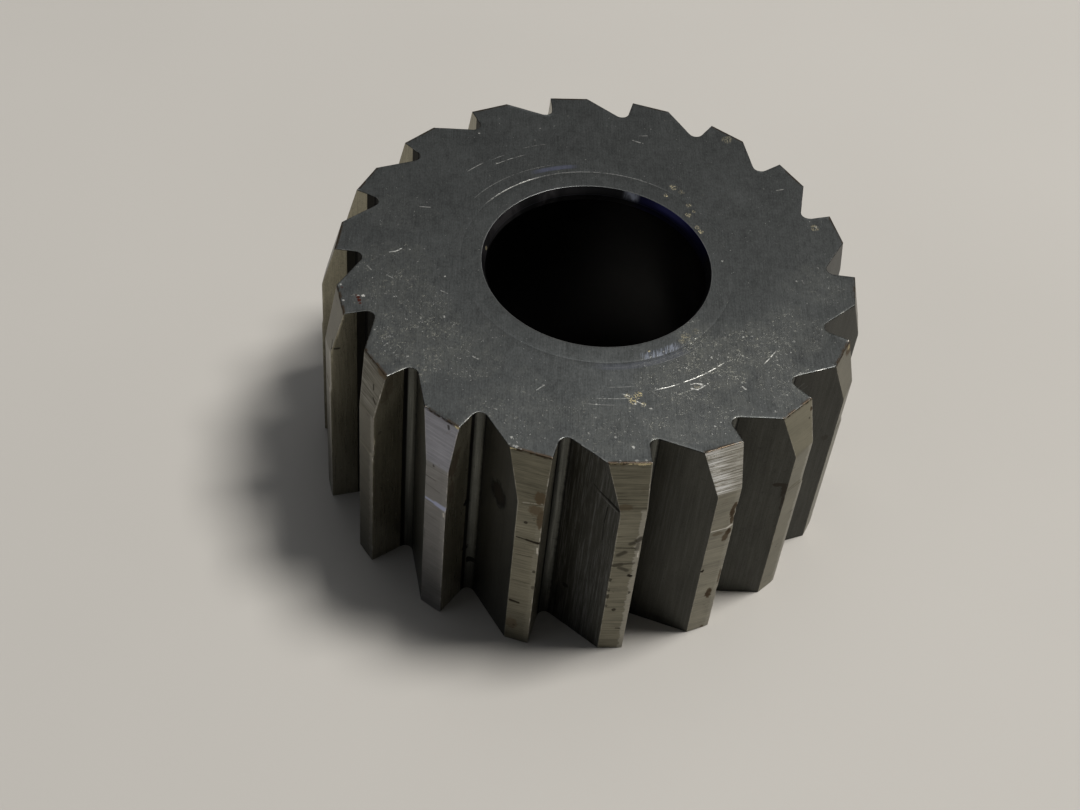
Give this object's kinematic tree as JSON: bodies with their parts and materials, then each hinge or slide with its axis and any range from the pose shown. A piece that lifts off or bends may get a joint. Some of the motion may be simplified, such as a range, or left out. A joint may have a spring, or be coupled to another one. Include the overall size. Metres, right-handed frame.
{
  "type": "bottom bracket reamer",
  "caption": "One-piece steel cutter head with a plain bore, straight V-shaped gullets and ground lands, which sizes the bore of a press-fit bicycle bottom bracket shell.",
  "frame": {"origin": "centre of the drive face, which the head stands on", "axes": "+Z along the bore axis, out of the leading face; +X along the drive slots, through the cutting edge of one tooth"},
  "size_m": [0.042, 0.0416, 0.021],
  "materials": {
    "tool_steel": "dark tool steel with bright ground lands, worn and lightly stained"
  },
  "bodies": {
    "root": {"reamer_head": "tool_steel"}
  },
  "joints": []
}
